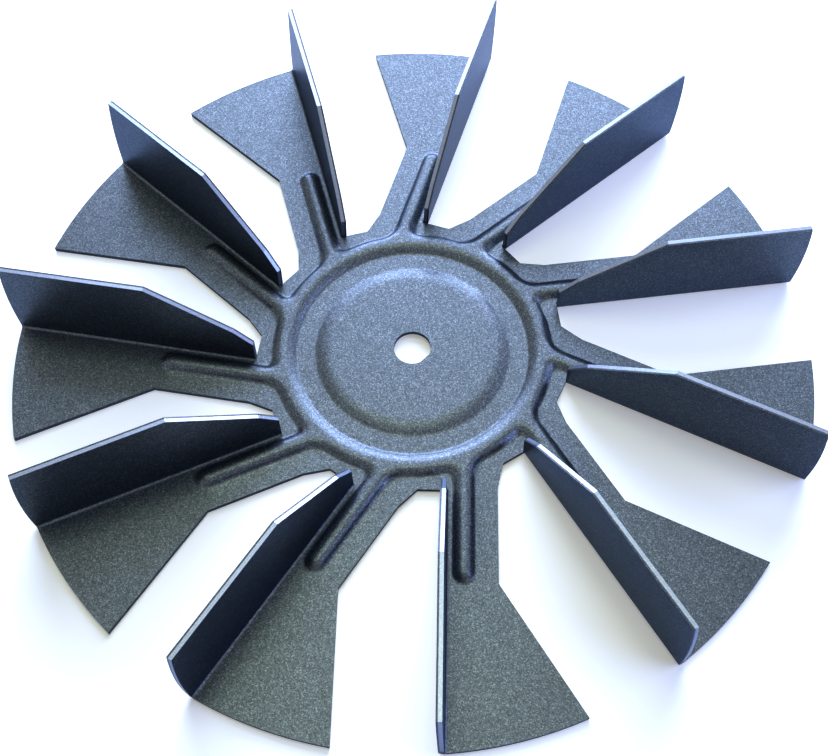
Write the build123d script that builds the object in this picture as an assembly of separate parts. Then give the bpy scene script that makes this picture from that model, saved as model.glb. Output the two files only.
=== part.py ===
from build123d import *
from math import cos, hypot, radians, sin, sqrt, tan
import os

# Fan wheel pressed from one round sheet-steel blank. Each blade is sheared in the blank: one flap is
# bent up as a fin, and the rest stays flat as an arm that widens into a paddle. Beads stiffen the disc.
# Millimetres and degrees. Z is the bore's axis, and Z = 0 is the underside of the hub's raised middle.
# A blade is drawn along +X: its fin stands on the -Y side, and its paddle spreads towards +Y.

# Blank
blade_count = 11
blank_radius = 75.0
sheet = 1.0
first_blade_heading = -90.0

# Bore, a D with one flat
bore_radius = 3.5
bore_flat_depth = 0.21
bore_flat_heading = -45.0

# Raised middle of the hub
plateau_radius = 18.2  # at its foot
plateau_rise = 0.7
plateau_slope = 30.0
plateau_edge_round = 3.6

# Beads: a ring round the hub, and a spoke along each arm. Widths are at the foot.
valley_width = 3.7  # between the raised middle and the ring
ring_width = 4.5
spoke_width = 4.2
spoke_reach = 46.1
spoke_land = 0.45  # flat strip between the fin's bend and the spoke
bead_rise = 1.0
bead_slope = 45.0
ring_edge_round = 1.8  # of the crest's inner edge
bead_edge_bevel = 0.75  # of the crest's outer edge and the spokes, measured along each face
branch_round = 1.5  # in plan, where a spoke leaves the ring

# Arms and fins
arm_width = 10.0  # from the fin's outer face to the arm's trailing edge
fin_offset = 5.84  # from the bore's axis to the fin's outer face, at its foot
root_margin = 2.4  # from the ring to where the fin starts
fin_height = 19.0
fin_lean = 1.85  # how far the bend stops short of square
bend_round = 0.5  # inside
corner_along_root = 1.2  # the shear cuts across the flap's inner corner
corner_along_edge = 4.0
neutral_line = 0.4  # share of the sheet's thickness, from the inside of the bend

# Worked out
pitch = 360 / blade_count
headings = [first_blade_heading + pitch * i for i in range(blade_count)]
bend_angle = 90 - fin_lean
bend_setback = (bend_round + sheet) * tan(radians(bend_angle / 2))
bend_length = radians(bend_angle) * (bend_round + neutral_line * sheet)
bend_saving = 2 * bend_setback - bend_length
bend_line = fin_offset + bend_setback
ring_inner_radius = plateau_radius + valley_width
ring_outer_radius = ring_inner_radius + ring_width
fin_start = ring_outer_radius + root_margin
bead_run = bead_rise / tan(radians(bead_slope))
bead_wall = bead_rise / sin(radians(bead_slope))
bead_crest = min(spoke_width, ring_width) - 2 * bead_run
plateau_run = plateau_rise / tan(radians(plateau_slope))
plateau_wall = plateau_rise / sin(radians(plateau_slope))
backing = 3 * sheet
clear = 1.0  # how far a cutting tool runs past what it cuts


def blank_y(height):
    # Where a point of the standing fin lay in the flat blank
    return fin_offset + bend_saving - height


def rim_x(y):
    # The blank's edge at y
    return sqrt(blank_radius**2 - y**2)


def flap_outline():
    # Shear line of one flap, as (x, height on the standing fin), from its root to its top edge.
    # It is also the trailing edge of the arm behind, which runs straight and parallel to that arm's fin.
    turn = radians(pitch)
    arm_edge = fin_offset + arm_width

    def edge_height(x):
        return blank_y((arm_edge - x * sin(turn)) / cos(turn))

    shoulder_x = (arm_edge - blank_y(fin_height) * cos(turn)) / sin(turn)
    corner = Vector(fin_start, edge_height(fin_start))
    return [
        (fin_start, corner.Y - corner_along_root),
        (fin_start + corner_along_edge * cos(turn), corner.Y + corner_along_edge * sin(turn)),
        (shoulder_x, fin_height),
    ]


def window():
    # Opening that a flap leaves in the blank when it is bent up
    beyond = blank_radius + clear
    shear = [(x, blank_y(height)) for x, height in flap_outline()]
    return make_face(
        Polyline(
            (fin_start, bend_line),
            *shear,
            (beyond, blank_y(fin_height)),
            (beyond, bend_line),
            close=True,
        )
    )


def fin():
    # The bend and the standing flap: the bent sheet's section, run along the blade and cut to the outline
    bend = JernArc((bend_line, sheet / 2), (-1, 0), bend_round + sheet / 2, -bend_angle)
    stand = PolarLine(bend @ 1, fin_height + clear, direction=bend % 1)
    section = trace([bend, stand], sheet)
    bent_sheet = extrude(Plane.YZ * section, blank_radius + clear)

    end_x = rim_x(bend_line)
    middle_height = (bend_setback + fin_height) / 2
    end_arc = ThreePointArc(
        (end_x, bend_setback),
        (rim_x(blank_y(middle_height)), middle_height),
        (rim_x(blank_y(fin_height)), fin_height),
    )
    inner_edges = Polyline(
        (end_x, bend_setback),
        (end_x, -clear),
        (fin_start, -clear),
        *flap_outline(),
        end_arc @ 1,
    )
    outline = make_face([end_arc, inner_edges])
    lean = radians(fin_lean)
    outer_face = Plane((0, fin_offset, 0), x_dir=(1, 0, 0), z_dir=(0, -cos(lean), -sin(lean)))
    return bent_sheet & extrude(outer_face * outline, bend_line, both=True)


def bead_plan():
    # The ring, filled in, with its spokes
    half_width = spoke_width / 2
    length = spoke_reach - half_width
    y = bend_line + spoke_land + half_width
    spoke = Pos(length / 2, y) * Rectangle(length, spoke_width) + Pos(length, y) * Circle(half_width)
    plan = Circle(ring_outer_radius) + [Rot(0, 0, heading) * spoke for heading in headings]
    branches = [v for v in plan.vertices() if abs(hypot(v.X, v.Y) - ring_outer_radius) < 0.01]
    return fillet(branches, branch_round)


def raised_face(depth):
    # Solid under one face of the pressed disc, without the blades: depth is 0 for the upper face and the
    # sheet's thickness for the lower one, where each wall stands further in so that it stays parallel
    level = sheet - depth
    bead_shift = depth * tan(radians(bead_slope / 2))
    beads = extrude(offset(bead_plan(), -bead_shift), bead_rise, taper=90 - bead_slope)
    foot = ring_inner_radius + bead_shift
    beads -= Pos(0, 0, bead_rise / 2) * Cone(foot, foot + bead_run, bead_rise)

    foot = plateau_radius - depth * tan(radians(plateau_slope / 2))
    plateau = Pos(0, 0, plateau_rise / 2) * Cone(foot, foot - plateau_run, plateau_rise)

    disc = Pos(0, 0, -backing / 2) * Cylinder(blank_radius, backing)
    return Pos(0, 0, level) * (disc + beads + plateau)


def edges_at(body, height, nearest, farthest):
    level = body.edges().filter_by_position(Axis.Z, height - 0.01, height + 0.01)
    return [edge for edge in level if nearest < hypot((edge @ 0).X, (edge @ 0).Y) < farthest]


def eased(upper):
    # Rounds and bevels of the upper face, each limited by the walls and crests that it lies on
    crest = sheet + bead_rise
    ring_middle = (ring_inner_radius + ring_outer_radius) / 2
    bevel = min(bead_edge_bevel, 0.4 * bead_crest, 0.9 * bead_wall)
    upper = chamfer(edges_at(upper, crest, ring_middle, blank_radius), bevel)

    arc_run = tan(radians(bead_slope / 2))
    ring_round = min(ring_edge_round, 0.4 * bead_crest / arc_run, 0.9 * bead_wall / arc_run)
    upper = fillet(edges_at(upper, crest, 0, ring_inner_radius + bead_run + 0.01), ring_round)

    plateau_round = min(plateau_edge_round, 0.9 * plateau_wall / tan(radians(plateau_slope / 2)))
    return fillet(edges_at(upper, sheet + plateau_rise, 0, plateau_radius), plateau_round)


def bore():
    past_flat = Pos(2 * bore_radius - bore_flat_depth, 0) * Rectangle(2 * bore_radius, 2 * bore_radius)
    profile = Circle(bore_radius) - past_flat
    return Rot(0, 0, bore_flat_heading) * extrude(profile, 2 * backing, both=True)


def impeller():
    wheel = eased(raised_face(0)) - raised_face(sheet)
    windows = extrude(window(), backing, both=True)
    wheel -= [Rot(0, 0, heading) * windows for heading in headings]
    wheel -= bore()
    one_fin = fin()
    wheel += [Rot(0, 0, heading) * one_fin for heading in headings]
    return Pos(0, 0, -plateau_rise) * wheel


os.makedirs("parts", exist_ok=True)
export_step(impeller(), "parts/impeller.step")
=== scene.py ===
import bmesh
import bpy
from math import atan2, cos, hypot, inf, pi, radians, sin, sqrt, tan
from mathutils import Matrix, Vector


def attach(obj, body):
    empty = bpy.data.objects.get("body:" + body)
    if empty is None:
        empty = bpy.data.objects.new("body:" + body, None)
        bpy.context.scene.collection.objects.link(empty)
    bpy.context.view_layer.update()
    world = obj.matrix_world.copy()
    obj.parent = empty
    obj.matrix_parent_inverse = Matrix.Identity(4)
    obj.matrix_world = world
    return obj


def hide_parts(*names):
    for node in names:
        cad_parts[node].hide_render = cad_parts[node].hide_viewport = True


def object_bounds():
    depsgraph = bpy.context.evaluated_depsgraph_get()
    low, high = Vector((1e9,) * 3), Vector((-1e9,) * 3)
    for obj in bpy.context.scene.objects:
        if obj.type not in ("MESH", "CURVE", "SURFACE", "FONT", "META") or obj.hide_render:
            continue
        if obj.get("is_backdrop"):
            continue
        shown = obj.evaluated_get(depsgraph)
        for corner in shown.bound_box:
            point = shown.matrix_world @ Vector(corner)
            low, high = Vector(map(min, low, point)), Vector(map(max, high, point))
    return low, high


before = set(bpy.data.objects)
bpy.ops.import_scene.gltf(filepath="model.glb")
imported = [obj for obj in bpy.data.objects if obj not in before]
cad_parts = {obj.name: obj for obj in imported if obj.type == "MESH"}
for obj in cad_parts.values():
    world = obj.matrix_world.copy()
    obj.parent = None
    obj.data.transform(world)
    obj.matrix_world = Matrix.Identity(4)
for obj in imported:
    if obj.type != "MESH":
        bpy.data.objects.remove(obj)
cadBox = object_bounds()
mm = 0.001

# The wheel is one sheet: a face that is cut, pressed and bent flap by flap, spun to 11 blades and thickened.
# Sizes are in millimetres and degrees. A blade is drawn along +X, and its fin stands on its -Y side.
blank = {"blades": 11, "radius": 74.97, "sheet": 1.0, "heading": -90.0}
bore = {"radius": 3.5, "flatDepth": 0.21, "flatHeading": -45.0, "blendRadius": 5.0}
plateau = {"radius": 18.25, "wall": 3.2, "rise": 0.7, "fullness": 2.0, "footRound": 0.25}
ring = {"inner": 21.9, "outer": 26.4}
ringInside = {"wall": 2.25, "rise": 1.0, "fullness": 1.7, "footRound": 0.12}
bead = {"wall": 1.9, "rise": 1.0, "fullness": 2.4, "footRound": 0.12, "branchRound": 1.6}
spoke = {"width": 3.8, "reach": 46.1, "land": 0.65}
arm = {"width": 10.0, "cornerAlongRoot": 1.2, "cornerAlongEdge": 4.0}
fin = {"offset": 5.84, "start": 28.8, "height": 19.0, "lean": 1.85, "bendRound": 0.5, "neutralLine": 0.4}
mesh = {"hubSteps": 32, "fine": 0.27, "long": 0.432, "bendSteps": 6, "rimSteps": 40, "merge": 0.002}

pitch = 2 * pi / blank["blades"]
bendAngle = radians(90 - fin["lean"])
bendSetback = (fin["bendRound"] + blank["sheet"]) * tan(bendAngle / 2)
bendLength = bendAngle * (fin["bendRound"] + fin["neutralLine"] * blank["sheet"])
bendLine = fin["offset"] + bendSetback
flatFin = fin["offset"] + 2 * bendSetback - bendLength


def turned(point, angle):
    x, y = point
    return (x * cos(angle) - y * sin(angle), x * sin(angle) + y * cos(angle))


def arc(start, angle, count):
    return [turned(start, angle * i / count) for i in range(count + 1)]


def steps(start, end, gap):
    count = max(round((end - start) / gap), 1)
    return [start + (end - start) * i / count for i in range(count + 1)]


def onRim(y):
    return (sqrt(blank["radius"] ** 2 - y**2), y)


def shearLine():
    # Where a flap is cut out of the blank, from its root to its top corner
    armEdge = fin["offset"] + arm["width"]

    def edgeY(x):
        return (armEdge - x * sin(pitch)) / cos(pitch)

    start, topY = fin["start"], flatFin - fin["height"]
    along = arm["cornerAlongEdge"]
    return [
        (start, edgeY(start) + arm["cornerAlongRoot"]),
        (start + along * cos(pitch), edgeY(start) - along * sin(pitch)),
        ((armEdge - topY * cos(pitch)) / sin(pitch), topY),
        onRim(topY),
    ]


shear = shearLine()
slitEnd = (fin["start"], bendLine)
rootRadius = hypot(*shear[0])
rootAngle = atan2(shear[0][1], shear[0][0])
columns = steps(fin["start"], spoke["reach"] + 1.0, mesh["long"])  # to just past the spoke's end


def arch(depth, form):
    # Height at a depth inside a pressed form's foot line: steepest near the foot, rounding over to the crest
    soft = form["footRound"]
    if abs(depth) < soft:
        depth = (depth + soft) ** 2 / (4 * soft)
    share = min(max(depth / form["wall"], 0), 1)
    return form["rise"] * (1 - (1 - share) ** form["fullness"])


def pressed(x, y):
    # Height of the pressed face above the flat blank
    r = hypot(x, y)
    fromRing = r - ring["outer"]
    half = spoke["width"] / 2
    fromSpoke = inf
    for turn in (-1, 0, 1):
        u, v = turned((x, y), -turn * pitch)
        past = max(u - spoke["reach"] + half, 0)
        if u > 0:
            fromSpoke = min(fromSpoke, hypot(past, v - bendLine - spoke["land"] - half) - half)
    # A rounded union, so that the walls blend where a spoke leaves the ring
    k = bead["branchRound"]
    outside = max(k, min(fromRing, fromSpoke)) - hypot(max(k - fromRing, 0), max(k - fromSpoke, 0))
    beads = min(arch(-outside, bead), arch(r - ring["inner"], ringInside))
    return max(beads, arch(plateau["radius"] - r, plateau))


def bent(x, y):
    # Where a point of the flap's inner face goes when the flap is bent up
    along = bendLine - y
    angle = min(along / bendLength, 1) * bendAngle
    rest = max(along - bendLength, 0)
    r = fin["bendRound"]
    sideways = bendLine - r * sin(angle) - rest * cos(bendAngle)
    return (x, sideways, r - r * cos(angle) + rest * sin(bendAngle))


def cut(bm, region, place, normal):
    done = bmesh.ops.bisect_plane(bm, geom=region, dist=1e-5, plane_co=(*place, 0), plane_no=(*normal, 0))
    return done["geom"]


def flatFace(bm, outline):
    return bm.faces.new([bm.verts.new((x, y, 0)) for x, y in outline])


def faceParts(face):
    return [face, *face.edges, *face.verts]


def addHub(bm):
    # A radial line spun through one pitch, with its rows close together where the face is curved
    gap = mesh["fine"]
    radii = [bore["radius"] + step for step in (0, 0.1, 0.3, 0.7)]  # close rows keep the bore's edge crisp
    radii += steps(bore["blendRadius"], plateau["radius"] - plateau["wall"] - gap, 6 * gap)
    radii += steps(radii[-1], plateau["radius"] + 2 * gap, gap)[1:]
    radii += steps(radii[-1], ring["inner"] - 2 * gap, 3 * gap)[1:]
    radii += steps(radii[-1], ring["outer"] + 2 * gap, gap)[1:]
    radii += steps(radii[-1], rootRadius, 2 * gap)[1:]
    line = [bm.verts.new((*turned((r, 0), rootAngle), 0)) for r in radii]
    edges = [bm.edges.new(pair) for pair in zip(line, line[1:])]
    bmesh.ops.spin(bm, geom=line + edges, axis=(0, 0, 1), angle=pitch, steps=mesh["hubSteps"])


def addArm(bm):
    # The arm and its paddle, from the bend line to the next flap's shear line
    nextShear = [turned(point, pitch) for point in shear[1:]]
    rimX, rimY = onRim(bendLine)
    sweep = atan2(rimY, rimX) - atan2(nextShear[-1][1], nextShear[-1][0])
    outline = arc(shear[0], pitch, mesh["hubSteps"]) + nextShear
    outline += arc(nextShear[-1], sweep, mesh["rimSteps"])[1:] + [slitEnd]
    flatFace(bm, outline)
    bmesh.ops.remove_doubles(bm, verts=bm.verts, dist=mesh["merge"])
    region = faceParts(max(bm.faces, key=lambda face: face.calc_area()))
    hubEdge = turned(shear[0], pitch)[0]
    for x in steps(hubEdge, fin["start"], mesh["long"])[1:-1] + columns[1:]:
        region = cut(bm, region, (x, 0), (1, 0))
    foot = bendLine + spoke["land"]
    for y in steps(foot - mesh["fine"], foot + spoke["width"] + mesh["fine"], mesh["fine"]):
        region = cut(bm, region, (0, y), (0, 1))
    for vert in bm.verts:
        vert.co.z = pressed(vert.co.x, vert.co.y)


def addFlap(bm):
    # The flap, cut across in rows for its bend, then bent up
    top = shear[-1]
    rimX, rimY = onRim(bendLine)
    sweep = atan2(rimY, rimX) - atan2(top[1], top[0])
    region = faceParts(flatFace(bm, [slitEnd] + shear + arc(top, sweep, mesh["rimSteps"] // 2)[1:]))
    for x in columns[1:]:
        region = cut(bm, region, (x, 0), (1, 0))
    for row in range(1, mesh["bendSteps"] + 1):
        region = cut(bm, region, (0, bendLine - bendLength * row / mesh["bendSteps"]), (0, 1))
    for part in region:
        if isinstance(part, bmesh.types.BMVert):
            part.co = bent(part.co.x, part.co.y)


def shapeBore(bm):
    # The innermost rows take the bore's D outline, and turn back into circles further out
    flat = bore["radius"] - bore["flatDepth"]
    for vert in bm.verts:
        r = vert.co.xy.length
        if r < bore["blendRadius"]:
            facing = cos(atan2(vert.co.y, vert.co.x) - radians(bore["flatHeading"]))
            edge = bore["radius"] if facing * bore["radius"] < flat else flat / facing
            share = (r - bore["radius"]) / (bore["blendRadius"] - bore["radius"])
            vert.co.xy *= (edge + share * (bore["blendRadius"] - edge)) / r


def thicken(bm):
    # The sheet's underside lies one thickness below its upper face, and a sheared wall of three rows joins
    # them. It is dull and broken (2) and drawn dark as painted shade, apart from a standing flap's inner two
    # rows, which are burnished (1) and drawn bright as a painted highlight along the fin's edges.
    depth = bm.verts.layers.float.new("depth")
    bm.normal_update()
    down = {vert: vert.normal * -blank["sheet"] for vert in bm.verts}
    cutEdges = [edge for edge in bm.edges if edge.is_boundary]
    sheetFaces = set(bm.faces)
    bmesh.ops.extrude_face_region(bm, geom=bm.faces[:], use_keep_orig=True)
    walls = [face for edge in cutEdges for face in edge.link_faces if face not in sheetFaces]
    for vert, step in down.items():
        vert.co += step
        vert[depth] = 1.0
    across = [edge for face in walls for edge in face.edges if edge.verts[0][depth] != edge.verts[1][depth]]
    bmesh.ops.subdivide_edges(bm, edges=list(dict.fromkeys(across)), cuts=2, use_grid_fill=True)
    for face in bm.faces:
        share = sum(vert[depth] for vert in face.verts) / len(face.verts)
        if 0.01 < share < 0.99:
            standing = face.calc_center_median().z > blank["sheet"] + ringInside["rise"]
            # Index 1 is a painted highlight on the fins' top edges, index 2 painted shade on the other cut
            # walls
            face.material_index = 1 if standing and share < 2 / 3 else 2


def wheelMesh():
    bm = bmesh.new()
    addHub(bm)
    addArm(bm)
    addFlap(bm)
    turn = Matrix.Rotation(radians(blank["heading"]), 3, "Z")
    bmesh.ops.transform(bm, matrix=turn.to_4x4(), verts=bm.verts)
    whole = bm.verts[:] + bm.edges[:] + bm.faces[:]
    copies = blank["blades"] - 1
    bmesh.ops.spin(bm, geom=whole, axis=(0, 0, 1), angle=pitch * copies, steps=copies, use_duplicate=True)
    bmesh.ops.remove_doubles(bm, verts=bm.verts, dist=mesh["merge"])
    shapeBore(bm)
    bmesh.ops.triangulate(bm, faces=[face for face in bm.faces if len(face.verts) > 4])
    bmesh.ops.recalc_face_normals(bm, faces=bm.faces)
    if sum(face.normal.z for face in bm.faces) < 0:
        bmesh.ops.reverse_faces(bm, faces=bm.faces)
    thicken(bm)
    bmesh.ops.recalc_face_normals(bm, faces=bm.faces)
    bmesh.ops.translate(bm, verts=bm.verts, vec=(0, 0, blank["sheet"] - plateau["rise"]))
    bmesh.ops.scale(bm, verts=bm.verts, vec=(mm, mm, mm))
    for face in bm.faces:
        face.smooth = face.material_index == 0
    made = bpy.data.meshes.new("pressedWheel")
    bm.to_mesh(made)
    bm.free()
    return made


# A tumbled edge: the sheared corners are only just rounded
edgeRound = {"width": 0.07, "segments": 2, "overDegrees": 50}

wheel = bpy.data.objects.new("pressedWheel", wheelMesh())
bpy.context.scene.collection.objects.link(wheel)
bevel = wheel.modifiers.new("edgeRound", "BEVEL")
bevel.width = edgeRound["width"] * mm
bevel.segments = edgeRound["segments"]
bevel.limit_method = "ANGLE"
bevel.angle_limit = radians(edgeRound["overDegrees"])
bevel.harden_normals = True
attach(wheel, "root")
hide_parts("impeller")
print("wheel", len(wheel.data.vertices), "verts", len(wheel.data.polygons), "faces")


def linear(code):
    channels = [int(code[i : i + 2], 16) / 255 for i in (0, 2, 4)]
    return (*[c / 12.92 if c <= 0.04045 else ((c + 0.055) / 1.055) ** 2.4 for c in channels], 1)


def node(tree, kind, inputs=(), **settings):
    made = tree.nodes.new(kind)
    for name, value in settings.items():
        setattr(made, name, value)
    for name, value in dict(inputs).items():
        if isinstance(value, bpy.types.NodeSocket):
            tree.links.new(value, made.inputs[name])
        else:
            made.inputs[name].default_value = value
    return made


# The grain of a sprayed and baked coat: cells of slightly different greys, each a low mound. A real grain is
# about 0.05 mm wide, too fine to show, so it is drawn 0.17 mm wide here. The last colour tints what the coat
# shows at a glancing angle.
grain = {"perMillimetre": 5.9, "height": 0.04, "strength": 0.2, "flecksFrom": 0.85, "glancing": "aeb8d2"}

# Mild steel with a dark satin coat, sprayed and baked: grey-blue where it faces the light, nearly black where
# it faces away, with a fine sparkle
satinCoat = {"dark": "2e3235", "light": "485059", "fleck": "636a72", "roughness": 0.38, "metallic": 0.93}

# Steel burnished by the shear's blade: a smooth band along a fin's edge, its colour drawn bright as a painted
# highlight on the fin's top edge
burnishedEdgeAndHighlight = {"dark": "6c7588", "light": "788194", "fleck": "868f9f", "roughness": 0.32, "metallic": 0.9}

# Steel torn as the shear broke through: a dull, rough band, its dark colour also painted shade along the cut
# walls and inside the bore
brokenEdgeAndShade = {"dark": "26292c", "light": "3a3e42", "fleck": "4c5156", "roughness": 0.45, "metallic": 0.85}


def steelMaterial(name, look):
    made = bpy.data.materials.new(name)
    made.use_nodes = True
    tree = made.node_tree
    shader = tree.nodes["Principled BSDF"]
    spot = node(tree, "ShaderNodeTexCoord").outputs["Object"]
    scatter = {"Scale": grain["perMillimetre"] / mm, "Randomness": 1.0}
    cells = node(tree, "ShaderNodeTexVoronoi", {"Vector": spot, **scatter})
    shade = node(tree, "ShaderNodeSeparateColor", {"Color": cells.outputs["Color"]})
    ramp = node(tree, "ShaderNodeValToRGB", {"Fac": shade.outputs[0]})
    ramp.color_ramp.elements[0].color = linear(look["dark"])
    ramp.color_ramp.elements[1].color = linear(look["fleck"])
    ramp.color_ramp.elements.new(grain["flecksFrom"]).color = linear(look["light"])
    tree.links.new(ramp.outputs["Color"], shader.inputs["Base Color"])
    rise = {"Strength": grain["strength"], "Distance": grain["height"] * mm}
    mound = node(tree, "ShaderNodeBump", {"Height": cells.outputs["Distance"], **rise})
    tree.links.new(mound.outputs["Normal"], shader.inputs["Normal"])
    shader.inputs["Metallic"].default_value = look["metallic"]
    shader.inputs["Roughness"].default_value = look["roughness"]
    shader.inputs["Specular Tint"].default_value = linear(grain["glancing"])
    return made


wheel.data.materials.append(steelMaterial("coatedSteelSatin", satinCoat))
wheel.data.materials.append(steelMaterial("burnishedSteelEdgeAndHighlight", burnishedEdgeAndHighlight))
wheel.data.materials.append(steelMaterial("brokenSteelEdgeAndShade", brokenEdgeAndShade))
print("materials", [material.name for material in wheel.data.materials])

# Soft boxes, all aimed at the wheel's middle: place and size in metres, power in watts
lamps = {
    "backLow": {"place": (0.05, 0.62, 0.2), "size": (0.8, 0.4), "power": 20.0, "colour": "cbdcff"},
    "backHigh": {"place": (0.02, 0.5, 0.54), "size": (0.5, 0.3), "power": 4.4, "colour": "cbdcff"},
    "topFill": {"place": (-0.04, 0.14, 0.8), "size": (0.3, 0.3), "power": 1.7, "colour": "f2ffd8"},
    "rightFill": {"place": (0.62, -0.05, 0.3), "size": (0.6, 0.55), "power": 6.3, "colour": "a4baff"},
    "leftFill": {"place": (-0.6, 0.1, 0.4), "size": (0.6, 0.6), "power": 0.2, "colour": "e6efdc"},
}

for name, lamp in lamps.items():
    light = bpy.data.lights.new(name, "AREA")
    light.shape = "RECTANGLE"
    light.size, light.size_y = lamp["size"]
    light.energy = lamp["power"]
    light.color = linear(lamp["colour"])[:3]
    lightObject = bpy.data.objects.new(name, light)
    bpy.context.scene.collection.objects.link(lightObject)
    lightObject.location = lamp["place"]
    lightObject.rotation_mode = "QUATERNION"
    lightObject.rotation_quaternion = (-Vector(lamp["place"])).to_track_quat("-Z", "Y")
print("lamps", len(lamps))


def showsBackground(tree):
    # 1 for rays from the camera, off a glossy surface or through a clear one, which all show the background
    path = node(tree, "ShaderNodeLightPath")
    bounced = {0: path.outputs["Is Glossy Ray"], 1: path.outputs["Is Transmission Ray"]}
    indirect = node(tree, "ShaderNodeMath", bounced, operation="MAXIMUM").outputs[0]
    both = {0: path.outputs["Is Camera Ray"], 1: indirect}
    return node(tree, "ShaderNodeMath", both, operation="MAXIMUM").outputs[0]


room = {"light": "c4cad2", "strength": 0.08, "background": "ffffff"}

world = bpy.data.worlds.new("studio")
bpy.context.scene.world = world
world.use_nodes = True
tree = world.node_tree
tree.nodes.clear()
dim = node(tree, "ShaderNodeBackground", {"Color": linear(room["light"]), "Strength": room["strength"]})
white = node(tree, "ShaderNodeBackground", {"Color": linear(room["background"]), "Strength": 1.0})
sides = {1: dim.outputs[0], 2: white.outputs[0]}
pick = node(tree, "ShaderNodeMixShader", {"Fac": showsBackground(tree), **sides})
node(tree, "ShaderNodeOutputWorld", {"Surface": pick.outputs[0]})

# A sheet of matt paper just under the wheel
paper = {"halfWidth": 3.0, "gap": 0.0001, "seen": "f4f4f4", "lighting": "bcc8e0"}
paper |= {"glow": 0.3, "roughness": 0.9}

bm = bmesh.new()
bmesh.ops.create_grid(bm, x_segments=2, y_segments=2, size=paper["halfWidth"])
floorMesh = bpy.data.meshes.new("floor")
bm.to_mesh(floorMesh)
bm.free()
floor = bpy.data.objects.new("floor", floorMesh)
bpy.context.scene.collection.objects.link(floor)
floor.location.z = cadBox[0].z - paper["gap"]
paperMaterial = bpy.data.materials.new("palePaper")
paperMaterial.use_nodes = True
tree = paperMaterial.node_tree
shader = tree.nodes["Principled BSDF"]
seen = showsBackground(tree)
tones = {6: linear(paper["lighting"]), 7: linear(paper["seen"])}  # the sockets of colours A and B
tone = node(tree, "ShaderNodeMix", {"Factor": seen, **tones}, data_type="RGBA")
glow = node(tree, "ShaderNodeMath", {0: seen, 1: paper["glow"]}, operation="MULTIPLY")
tree.links.new(tone.outputs[2], shader.inputs["Base Color"])
tree.links.new(glow.outputs[0], shader.inputs["Emission Strength"])
shader.inputs["Emission Color"].default_value = linear("ffffff")
shader.inputs["Roughness"].default_value = paper["roughness"]
floorMesh.materials.append(paperMaterial)
floor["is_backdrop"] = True
print("floor and background")

# The camera looks down on the wheel: angles in degrees, target and distance in millimetres
view = {"azimuth": 2.07, "elevation": 60.92, "roll": -0.93}
view |= {"target": (0.422, -5.648, -0.7), "distance": 231.81}
lens = {"length": 53.72, "sensor": 36.0, "nearest": 10.0}

azimuth, elevation, roll = radians(view["azimuth"]), radians(view["elevation"]), radians(view["roll"])
back = Vector((sin(azimuth) * cos(elevation), -cos(azimuth) * cos(elevation), sin(elevation)))
right = Vector((cos(azimuth), sin(azimuth), 0))
up = back.cross(right)
xAxis = right * cos(roll) + up * sin(roll)
yAxis = up * cos(roll) - right * sin(roll)
camera = bpy.data.objects.new("camera", bpy.data.cameras.new("camera"))
bpy.context.scene.collection.objects.link(camera)
camera.data.sensor_width = lens["sensor"]
camera.data.lens = lens["length"]
camera.data.clip_start = lens["nearest"] * mm
place = Matrix.Translation((Vector(view["target"]) + back * view["distance"]) * mm)
camera.matrix_world = place @ Matrix((xAxis, yAxis, back)).transposed().to_4x4()
bpy.context.scene.camera = camera
bpy.context.scene.view_settings.view_transform = "Standard"
print("camera")

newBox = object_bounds()
for name, box in (("cad", cadBox), ("visual", newBox)):
    print(name, [[round(v / mm, 3) for v in c] for c in box])
